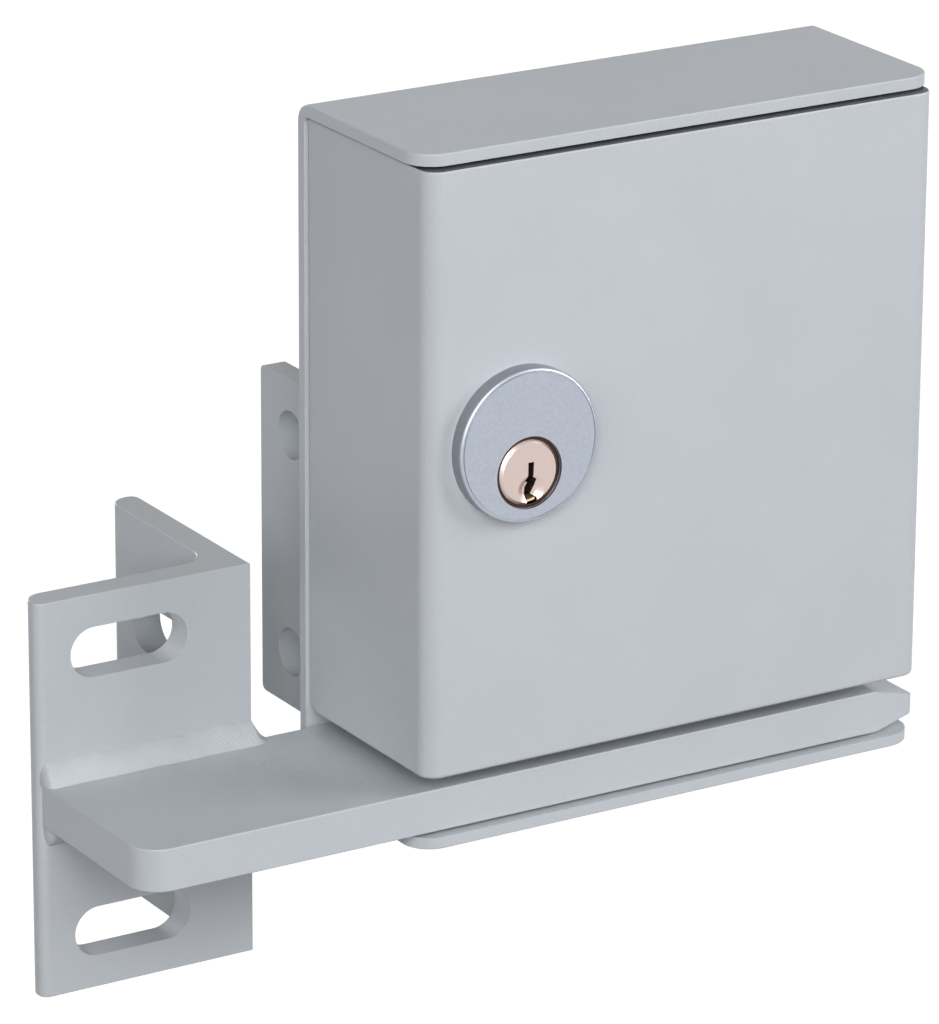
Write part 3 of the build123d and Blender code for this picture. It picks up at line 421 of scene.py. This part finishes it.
def finishes(look):
    """The finishes by name: one for each material slot of the record, and two more: for the cover, with
    painted shade in the gap below the lid, and for the weld beads, with painted light that makes their coat
    paler."""
    fine = [("Grain", 0.3 * MM), ("Mottle", 8 * MM), ("Contrast", 0.06)]
    # The zone of the painted shade in the recess round the plug
    recess = [("Centre", PLUG_CENTRE), ("Outer", PLUG_R + RECESS_WIDTH), ("Soft", RECESS_SOFT)]
    # The zone of the painted shade on the disc's outer edge and side
    edge = [("Centre", DISC_CENTRE), ("Inner", DISC_R - DISC_EDGE_SHADE), ("Outer", 2 * DISC_R)]
    # The zone of the painted shade on the cover's top, in the gap below the lid
    gap = [("Level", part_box("front_cover")[1].z - GAP_SHADE_DEPTH)]
    coat = {
        "values": [("Grain", look.coat_grain), ("Peel", 1.2), ("Mottle", 30 * MM), ("Contrast", 0.2)],
        "roughness": 0.34, "spread": 0.1, "depth": look.coat_depth,
    }
    rougher = {**coat, "roughness": 0.5}
    return {
        "powder_coat": finish("powder_coat", look.coat, **coat),
        # The cover's coat, with painted shade on its top in the gap below the lid
        "cover_coat": finish("cover_coat", look.coat, zones=[(look.gap, level_group, gap)], **coat),
        # Painted light: the weld beads' coat is the powder coat made paler, and rougher
        "weld_coat": finish("weld_coat", [WELD_PAINTED_LIGHT * part for part in look.coat], **rougher),
        "satin_chrome": finish(
            "satin_chrome", look.chrome,
            values=[("Grain", 0.26 * MM), ("Peel", 0.3), ("Mottle", 0.6 * MM), ("Contrast", 0.45)],
            roughness=0.36, spread=0.12, metallic=1.0, depth=0.006 * MM,
            # Painted shade on the disc's edge and in the recess round the plug
            zones=[(look.rim, zone_group, edge), (look.tarnish, zone_group, recess)],
        ),
        "nickel_silver": finish(
            "nickel_silver", look.nickel, build=turned_group,
            values=[("Centre", PLUG_CENTRE), ("Pitch", 0.16 * MM), ("Contrast", 0.3)],
            roughness=0.3, spread=0.12, metallic=1.0, depth=0.004 * MM,
        ),
        "plain_brass": finish("plain_brass", (0.72, 0.47, 0.2), values=fine, roughness=0.32, metallic=1.0),
        "hard_steel": finish("hard_steel", (0.55, 0.55, 0.56), values=fine, roughness=0.25, metallic=1.0),
        "plated_sheet": finish("plated_sheet", (0.62, 0.64, 0.65), values=fine, roughness=0.38, metallic=1.0),
        "plated_screw": finish("plated_screw", (0.66, 0.67, 0.68), values=fine, roughness=0.3, metallic=1.0),
        "spring_steel": finish("spring_steel", (0.45, 0.45, 0.46), values=fine, roughness=0.3, metallic=1.0),
        "cast_housing": finish("cast_housing", (0.52, 0.53, 0.54), values=fine, roughness=0.5, metallic=1.0),
        "slide_plastic": finish("slide_plastic", (0.78, 0.77, 0.72), values=fine, roughness=0.45),
        "magnet": finish("magnet", (0.5, 0.5, 0.52), values=fine, roughness=0.25, metallic=1.0),
        "black_plastic": finish("black_plastic", (0.03, 0.03, 0.032), values=fine, roughness=0.45),
        "green_plastic": finish("green_plastic", (0.06, 0.25, 0.11), values=fine, roughness=0.4),
        "board_laminate": finish("board_laminate", (0.02, 0.14, 0.06), values=fine, roughness=0.3),
        "capacitor_can": finish("capacitor_can", (0.1, 0.11, 0.16), values=fine, roughness=0.3),
        "rubber_bush": finish("rubber_bush", (0.02, 0.02, 0.02), values=fine, roughness=0.7),
    }


def wear(piece, material):
    """Give a piece one material."""
    piece.data.materials.clear()
    piece.data.materials.append(material)


class GATELOCK_OT_finish_nodes(bpy.types.Operator):
    """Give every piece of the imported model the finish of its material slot"""

    bl_idname = "gatelock.finish_nodes"
    bl_label = "Finish the pieces"

    def execute(self, context):
        made = finishes(context.scene.gate_lock_finish)
        for name, node in frame["nodes"].items():
            wear(node, made[OWN_FINISH.get(name, SLOT_OF[name])])
        return {"FINISHED"}


def closed_shell(rings):
    """A closed surface through rings of points, given as an array of stations by points by three. The first
    ring and the last are drawn together to their middles, where a fan closes each end. Its faces point
    outwards: they are turned round if the volume, a sixth of the sum of the triple products of their
    corners, is below nought."""
    count, width = rings.shape[:2]
    points = np.concatenate((rings[:1].mean(axis=1), rings[1:-1].reshape(-1, 3), rings[-1:].mean(axis=1)))
    here = 1 + np.arange((count - 2) * width).reshape(count - 2, width)
    beside = np.roll(here, -1, axis=1)
    quads = np.stack((here[:-1], beside[:-1], beside[1:], here[1:]), axis=-1).reshape(-1, 4)
    fans = np.concatenate((
        np.stack((np.zeros(width, int), beside[0], here[0]), axis=-1),
        np.stack((np.full(width, len(points) - 1), here[-1], beside[-1]), axis=-1),
    ))
    corners = points[np.concatenate((quads[:, :3], quads[:, [0, 2, 3]], fans))]
    first, second, third = corners.transpose(1, 0, 2)
    if (first * np.cross(second, third)).sum() < 0:
        quads, fans = quads[:, ::-1], fans[:, ::-1]
    return points, quads, fans


# An edge that folds by more than this stays sharp
CREASE_ANGLE = math.radians(50)


def make_piece(name, shells, body, slot, own_finish=None):
    """One smooth object of one or more closed shells, on its body, in the finish of its slot or in one of
    its own."""
    faces = []
    start = 0
    for points, quads, fans in shells:
        faces += (quads + start).tolist() + (fans + start).tolist()
        start += len(points)
    mesh = bpy.data.meshes.new(name)
    mesh.from_pydata(np.concatenate([points for points, _, _ in shells]), [], faces)
    mesh.polygons.foreach_set("use_smooth", np.ones(len(faces), bool))
    mesh.set_sharp_from_angle(angle=CREASE_ANGLE)
    piece = bpy.data.objects.new(name, mesh)
    bpy.context.scene.collection.objects.link(piece)
    wear(piece, bpy.data.materials[own_finish or slot])
    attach(piece, body)
    return piece


# How finely a bead is divided: along it, across it and round a corner
BEAD_STEP = 0.15 * MM
BEAD_POINTS = 28
BEAD_TURN_STEPS = 40
SAME_PLACE = 0.001 * MM

# How deep its hidden corner lies, how far its ripples lead at the crest, and where the beads start and end
BEAD_SINK = 0.1 * MM
RIPPLE_LEAD = 5.5 * MM
UPPER_START = 0.4 * MM
LOWER_START = 0.9 * MM
STRIKE_BEAD_END = 1.5 * MM
TAB_BEAD_END = 0.8 * MM

# A welder's unsteady hand: two slow waves, each a share of the bead's size and a length, and a mean inset
LONG_WAVE = (0.04, 2.4 * MM)
SHORT_WAVE = (0.02, 0.9 * MM)
FOOT_INSET = 0.03


def along(start, end, out):
    """Stations of a straight root line, a step apart, that all face the same way out."""
    start, end = np.array(start), np.array(end)
    count = max(3, round(np.linalg.norm(end - start) / BEAD_STEP))
    return np.linspace(start, end, count), np.tile(out, (count, 1))


def around(corner, first, second, sweep):
    """Stations that stay at a corner while the way out turns from the first direction towards the second."""
    angles = np.linspace(0, sweep, BEAD_TURN_STEPS)[:, None]
    return np.tile(corner, (BEAD_TURN_STEPS, 1)), np.cos(angles) * first + np.sin(angles) * second


def root_line(*legs):
    """The stations of several legs in a row, without those that only repeat the one before."""
    roots = np.concatenate([leg[0] for leg in legs])
    outs = np.concatenate([leg[1] for leg in legs])
    moved = np.linalg.norm(np.diff(roots + outs * MM, axis=0), axis=1) > SAME_PLACE
    kept = np.concatenate(([True], moved))
    return roots[kept], outs[kept]


def bead(line, rise, depth, height, welds, end, phase, behind=0.0, proud=1.0):
    """A fillet weld along a root line. At each station its face runs straight from the foot, a depth out
    from the root, to the crest, a height up along the rise, plus a parabola for the bulge and scallops for
    the ripples. A scallop is the absolute sine of the way along plus a lead, which grows as a square towards
    the crest. Two slow sines vary the foot and the crest, and both ends swell from nought as a quarter
    circle. The hidden corner lies sunk in the steel, the given way behind the root. Proud scales the bulge
    along the line, and makes it a hollow below nought."""
    roots, outs = line
    middle = roots + outs * depth / 2
    way = np.concatenate(([0.0], np.cumsum(np.linalg.norm(np.diff(middle, axis=0), axis=1))))
    nearer_end = np.minimum(way, way[-1] - way)
    swell = np.sqrt(1 - (1 - np.clip(nearer_end / end, 0, 1)) ** 2)

    def unsteady(turn):
        long = LONG_WAVE[0] * np.sin(way / LONG_WAVE[1] + turn)
        return 1 + long + SHORT_WAVE[0] * np.sin(way / SHORT_WAVE[1] + 2 * turn)

    up = np.linspace(0, 1, BEAD_POINTS)
    middling = 4 * up * (1 - up)
    foot = depth * swell * np.minimum(unsteady(phase) - FOOT_INSET, 1)
    crest = height * swell * unsteady(phase + 2)
    scallops = np.abs(np.sin(math.pi * (way[:, None] + RIPPLE_LEAD * up**2) / welds.pitch))
    bulge = welds.bulge * np.reshape(proud, (-1, 1)) * middling
    lift = swell[:, None] * (bulge + welds.ripple * np.sqrt(middling) * scallops)
    normal = (outs * height + rise * depth) / math.hypot(depth, height)
    face = (
        roots[:, None]
        + outs[:, None] * (foot[:, None] * (1 - up))[..., None]
        + rise * (crest[:, None] * up)[..., None]
        + normal[:, None] * lift[..., None]
    )
    sunk = outs * np.reshape(BEAD_SINK + behind, (-1, 1))
    face[:, 0] -= rise * BEAD_SINK
    face[:, -1] -= sunk
    heart = roots - rise * BEAD_SINK - sunk
    return closed_shell(np.concatenate((heart[:, None], face), axis=1))


class GATELOCK_OT_strike_weld_beads(bpy.types.Operator):
    """Lay the rippled weld beads between the strike's bar and its angle"""

    bl_idname = "gatelock.strike_weld_beads"
    bl_label = "Strike weld beads"

    def execute(self, context):
        welds = context.scene.gate_lock_welds
        shells = []
        for side, level, start in ((1, BAR_HIGH.z, UPPER_START), (-1, BAR_LOW.z, LOWER_START)):
            first = (ANGLE_LOW.x + start, BAR_HIGH.y, level)
            heel = (ANGLE_HIGH.x, BAR_HIGH.y, level)
            line = root_line(along(first, heel, -BACK), around(heel, -BACK, ALONG, math.pi))
            into_edge = np.clip(ANGLE_LOW.x + ANGLE_EDGE_R - line[0][:, 0], 0, ANGLE_EDGE_R)
            behind = ANGLE_EDGE_R - np.sqrt(ANGLE_EDGE_R**2 - into_edge**2)
            hollow = 1 - 2 * np.clip(line[1] @ ALONG, 0, 1)
            shells.append(bead(
                line, side * UP, welds.bead_depth, welds.bead_height, welds, end=STRIKE_BEAD_END, phase=side,
                behind=behind, proud=hollow,
            ))
        low = (ANGLE_HIGH.x, BAR_HIGH.y, BAR_LOW.z)
        high = (ANGLE_HIGH.x, BAR_HIGH.y, BAR_HIGH.z)
        upright = root_line(along(low, high, ALONG))
        shells.append(bead(upright, BACK, welds.bead_depth, welds.bead_depth, welds, end=BEAD_STEP, phase=3))
        beads = make_piece("strike_weld_beads", shells, "strike", "powder_coat", "weld_coat")
        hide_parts("strike_welds")
        return {"FINISHED"}


class GATELOCK_OT_tab_weld_beads(bpy.types.Operator):
    """Lay the rippled weld bead round the tab on the back wall"""

    bl_idname = "gatelock.tab_weld_beads"
    bl_label = "Tab weld beads"

    def execute(self, context):
        welds = context.scene.gate_lock_welds
        wall = TAB_LOW.y
        upper = (TAB_LOW.x, wall, TAB_HIGH.z)
        lower = (TAB_LOW.x, wall, TAB_LOW.z)
        line = root_line(
            along((TAB_HIGH.x, wall, TAB_HIGH.z), upper, UP),
            around(upper, UP, -ALONG, math.pi / 2),
            along(upper, lower, -ALONG),
            around(lower, -ALONG, -UP, math.pi / 2),
            along(lower, (TAB_HIGH.x, wall, TAB_LOW.z), -UP),
        )
        shells = [bead(line, BACK, welds.tab_leg, welds.tab_leg, welds, end=TAB_BEAD_END, phase=1)]
        beads = make_piece("tab_weld_beads", shells, "lock_body", "powder_coat", "weld_coat")
        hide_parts("tab_welds")
        return {"FINISHED"}


def pebble(centre, radii, squareness, tilt, steps=48):
    """A superellipsoid: the powers, with their signs kept, of the cosine and sine of latitude and
    longitude, times the radii. Its poles lie along Y, and it is tilted about Y."""
    def power(value):
        return np.sign(value) * np.abs(value) ** squareness

    latitude = np.linspace(-math.pi / 2, math.pi / 2, steps)[:, None]
    longitude = np.linspace(0, 2 * math.pi, steps, endpoint=False)[None]
    across = radii[0] * power(np.cos(latitude)) * power(np.cos(longitude))
    upward = radii[2] * power(np.cos(latitude)) * power(np.sin(longitude))
    inward = np.broadcast_to(radii[1] * power(np.sin(latitude)), across.shape)
    turned = (
        across * math.cos(tilt) - upward * math.sin(tilt),
        inward,
        across * math.sin(tilt) + upward * math.cos(tilt),
    )
    return closed_shell(np.stack(turned, axis=-1) + np.array(centre))


# The tongue's half sizes, its place from the middle of the plug's face, and how square and tilted it is
TONGUE_RADII = (1.15 * MM, 1.5 * MM, 0.3 * MM)
TONGUE_ASIDE = 0.4 * MM
TONGUE_INSET = 0.2 * MM
TONGUE_DROP = 5.68 * MM
TONGUE_SQUARENESS = 0.35
TONGUE_TILT = math.radians(8)


class GATELOCK_OT_key_tongue(bpy.types.Operator):
    """Set the brass tongue in the bottom of the keyway"""

    bl_idname = "gatelock.key_tongue"
    bl_label = "Keyway tongue"

    def execute(self, context):
        centre = PLUG_CENTRE + Vector((TONGUE_ASIDE, TONGUE_RADII[1] + TONGUE_INSET, -TONGUE_DROP))
        shell = pebble(centre, TONGUE_RADII, TONGUE_SQUARENESS, TONGUE_TILT)
        make_piece("key_tongue", [shell], "key", "plain_brass")
        return {"FINISHED"}


# A spring's turns and wire, how finely it is divided along each turn and round the wire, and how much less
# it climbs at its ends
SPRING_TURNS = 7
SPRING_WIRE_R = 0.45 * MM
SPRING_STEPS = 40
SPRING_SIDES = 12
SPRING_CLOSING = 0.55


def coil(low, high):
    """A compression spring in a box: a circle, the wire, carried up a helix. The way up is the share of the
    turns that are made, less a sine, so that the turns lie closer together at both ends."""
    share = np.linspace(0, 1, SPRING_TURNS * SPRING_STEPS)[:, None, None]
    turn = 2 * math.pi * SPRING_TURNS * share
    out = np.concatenate((np.cos(turn), np.sin(turn), np.zeros_like(turn)), axis=-1)
    climb = share - SPRING_CLOSING * np.sin(2 * math.pi * share) / (2 * math.pi)
    foot = np.array(((low.x + high.x) / 2, (low.y + high.y) / 2, low.z + SPRING_WIRE_R))
    radius = (high.x - low.x) / 2 - SPRING_WIRE_R
    middle = foot + out * radius + UP * (high.z - low.z - 2 * SPRING_WIRE_R) * climb
    side = np.linspace(0, 2 * math.pi, SPRING_SIDES, endpoint=False)[None, :, None]
    rings = middle + SPRING_WIRE_R * (np.cos(side) * out + np.sin(side) * UP)
    return closed_shell(np.concatenate((rings[:1], rings, rings[-1:])))


class GATELOCK_OT_return_springs(bpy.types.Operator):
    """Wind the two return springs; the real ones shorten from below as the carriage lifts"""

    bl_idname = "gatelock.return_springs"
    bl_label = "Return springs"

    def execute(self, context):
        for number in (1, 2):
            node = f"return_spring_{number}"
            low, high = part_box(node)
            spring = make_piece(f"return_coil_{number}", [coil(low, high)], "lock_body", SLOT_OF[node])
            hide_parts(node)
            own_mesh(spring)
        return {"FINISHED"}


WHITE = (1, 1, 1)
COOL = (0.97, 0.97, 1.03)

# Each light's name, size in metres, turn to the left of the front and lift above level in degrees, and colour
LIGHTS = (
    ("key", 1.3, 27, 27, WHITE),
    ("side", 1.0, -55, 22, COOL),
    ("fill", 1.0, 60, 16, COOL),
    ("back", 0.4, 180, 7, COOL),
)
LIGHT_DISTANCE = 2.0


def soft_light(name, power, size, turn, lift, colour):
    """A square area light that looks at the middle of the object from a turn to the left of its front and a
    lift above level."""
    low, high = CAD_BOX
    away = Vector((-math.sin(turn) * math.cos(lift), -math.cos(turn) * math.cos(lift), math.sin(lift)))
    data = bpy.data.lights.new(name, "AREA")
    data.energy = power
    data.size = size
    data.color = colour
    lamp = bpy.data.objects.new(name, data)
    bpy.context.scene.collection.objects.link(lamp)
    lamp.location = (low + high) / 2 + away * LIGHT_DISTANCE
    lamp.rotation_euler = (-away).to_track_quat("-Z", "Y").to_euler()


def photo_camera():
    """The camera of the photograph. Its axes come from the turn, drop and roll of the view, and its place
    from where the disc lies in front of it."""
    forward = Vector((
        math.sin(VIEW_TURN) * math.cos(VIEW_DROP),
        math.cos(VIEW_TURN) * math.cos(VIEW_DROP),
        -math.sin(VIEW_DROP),
    ))
    level = forward.cross(Vector((0, 0, 1))).normalized()
    plumb = level.cross(forward)
    right = level * math.cos(VIEW_ROLL) + plumb * math.sin(VIEW_ROLL)
    up = plumb * math.cos(VIEW_ROLL) - level * math.sin(VIEW_ROLL)
    across, rise, depth = DISC_FROM_CAMERA
    data = bpy.data.cameras.new("photo_camera")
    data.sensor_fit = "HORIZONTAL"
    data.sensor_width = SENSOR
    data.lens = FOCAL_PX / IMAGE_WIDTH * SENSOR
    data.shift_x = (IMAGE_WIDTH / 2 - PRINCIPAL_PX[0]) / IMAGE_WIDTH
    data.shift_y = (PRINCIPAL_PX[1] - IMAGE_HEIGHT / 2) / IMAGE_WIDTH
    camera = bpy.data.objects.new("photo_camera", data)
    bpy.context.scene.collection.objects.link(camera)
    turn = Matrix((right, up, -forward)).transposed().to_4x4()
    place = DISC_CENTRE - right * across - up * rise - forward * depth
    camera.matrix_world = Matrix.Translation(place) @ turn
    bpy.context.scene.camera = camera


def white_behind(tree, lit, backdrop):
    """Show the backdrop to the camera and in reflections, and what lights the object to everything else."""
    path = tree.nodes.new("ShaderNodeLightPath")
    seen = math_node(tree, "MAXIMUM", path.outputs["Is Camera Ray"], path.outputs["Is Glossy Ray"])
    seen = math_node(tree, "MAXIMUM", seen, path.outputs["Is Transmission Ray"])
    mix = tree.nodes.new("ShaderNodeMixShader")
    link(tree, seen, mix.inputs["Fac"])
    link(tree, lit, mix.inputs[1])
    link(tree, backdrop, mix.inputs[2])
    return mix.outputs[0]


def white_world(ambient):
    """Surroundings that look white, and light the object a little from all round."""
    world = bpy.data.worlds.new("studio")
    world.use_nodes = True
    bpy.context.scene.world = world
    tree = world.node_tree
    lit = tree.nodes["Background"]
    white = tree.nodes.new("ShaderNodeBackground")
    for background, strength in ((lit, ambient), (white, 1.0)):
        background.inputs["Color"].default_value = (*WHITE, 1)
        background.inputs["Strength"].default_value = strength
    shown = white_behind(tree, lit.outputs[0], white.outputs[0])
    link(tree, shown, tree.nodes["World Output"].inputs[0])


# The floor's half width, the grey that it is to the light, and the glow that makes it look white
FLOOR_HALF = 4.0
FLOOR_GREY = 0.25
FLOOR_ROUGHNESS = 0.9
FLOOR_GLOW = 0.95


def pale_finish():
    """A matt grey that glows where the camera or a reflection sees it, so that it looks white and still
    shows the object's shadow."""
    pale = bpy.data.materials.new("floor_pale")
    pale.use_nodes = True
    tree = pale.node_tree
    shader = tree.nodes["Principled BSDF"]
    shader.inputs["Base Color"].default_value = (FLOOR_GREY, FLOOR_GREY, FLOOR_GREY, 1)
    shader.inputs["Roughness"].default_value = FLOOR_ROUGHNESS
    shader.inputs["Specular IOR Level"].default_value = 0.0
    glow = tree.nodes.new("ShaderNodeEmission")
    glow.inputs["Strength"].default_value = FLOOR_GLOW
    both = tree.nodes.new("ShaderNodeAddShader")
    link(tree, shader.outputs[0], both.inputs[0])
    link(tree, glow.outputs[0], both.inputs[1])
    shown = white_behind(tree, shader.outputs[0], both.outputs[0])
    link(tree, shown, tree.nodes["Material Output"].inputs["Surface"])
    return pale


def pale_floor(drop):
    """A level square, a drop below the object."""
    low, high = CAD_BOX
    middle = (low + high) / 2
    corners = [
        (middle.x + across * FLOOR_HALF, middle.y + away * FLOOR_HALF, low.z - drop)
        for across, away in ((-1, -1), (1, -1), (1, 1), (-1, 1))
    ]
    mesh = bpy.data.meshes.new("floor")
    mesh.from_pydata(corners, [], [(0, 1, 2, 3)])
    floor = bpy.data.objects.new("floor", mesh)
    bpy.context.scene.collection.objects.link(floor)
    wear(floor, pale_finish())


class GATELOCK_OT_studio(bpy.types.Operator):
    """Make the pale floor, the white surroundings, the soft lights and the camera of the photograph"""

    bl_idname = "gatelock.studio"
    bl_label = "Studio"

    def execute(self, context):
        studio = context.scene.gate_lock_studio
        context.scene.view_settings.view_transform = "Standard"
        photo_camera()
        white_world(studio.ambient)
        pale_floor(studio.floor_drop)
        for name, size, turn, lift, colour in LIGHTS:
            power = getattr(studio, f"{name}_power")
            soft_light(f"{name}_light", power, size, math.radians(turn), math.radians(lift), colour)
        return {"FINISHED"}


class GATELOCK_PT_panel(bpy.types.Panel):
    """Sizes, colours and steps of the gate lock"""

    bl_label = "Gate lock"
    bl_idname = "GATELOCK_PT_panel"
    bl_space_type = "VIEW_3D"
    bl_region_type = "UI"
    bl_category = "Gate lock"

    def draw(self, context):
        scene = context.scene
        for group in (scene.gate_lock_finish, scene.gate_lock_welds, scene.gate_lock_studio):
            for name in group.__annotations__:
                self.layout.prop(group, name)
        for step in STEPS:
            self.layout.operator(step.bl_idname)


STEPS = (
    GATELOCK_OT_studio,
    GATELOCK_OT_finish_nodes,
    GATELOCK_OT_strike_weld_beads,
    GATELOCK_OT_tab_weld_beads,
    GATELOCK_OT_key_tongue,
    GATELOCK_OT_return_springs,
)
CLASSES = (LockFinish, LockWelds, LockStudio, *STEPS, GATELOCK_PT_panel)


def register():
    for item in CLASSES:
        bpy.utils.register_class(item)
    bpy.types.Scene.gate_lock_finish = bpy.props.PointerProperty(type=LockFinish)
    bpy.types.Scene.gate_lock_welds = bpy.props.PointerProperty(type=LockWelds)
    bpy.types.Scene.gate_lock_studio = bpy.props.PointerProperty(type=LockStudio)


def unregister():
    del bpy.types.Scene.gate_lock_studio
    del bpy.types.Scene.gate_lock_welds
    del bpy.types.Scene.gate_lock_finish
    for item in reversed(CLASSES):
        bpy.utils.unregister_class(item)


def main():
    register()
    bpy.ops.gatelock.studio()
    bpy.ops.gatelock.finish_nodes()
    bpy.ops.gatelock.strike_weld_beads()
    bpy.ops.gatelock.tab_weld_beads()
    bpy.ops.gatelock.key_tongue()
    bpy.ops.gatelock.return_springs()


if __name__ == "__main__":
    main()
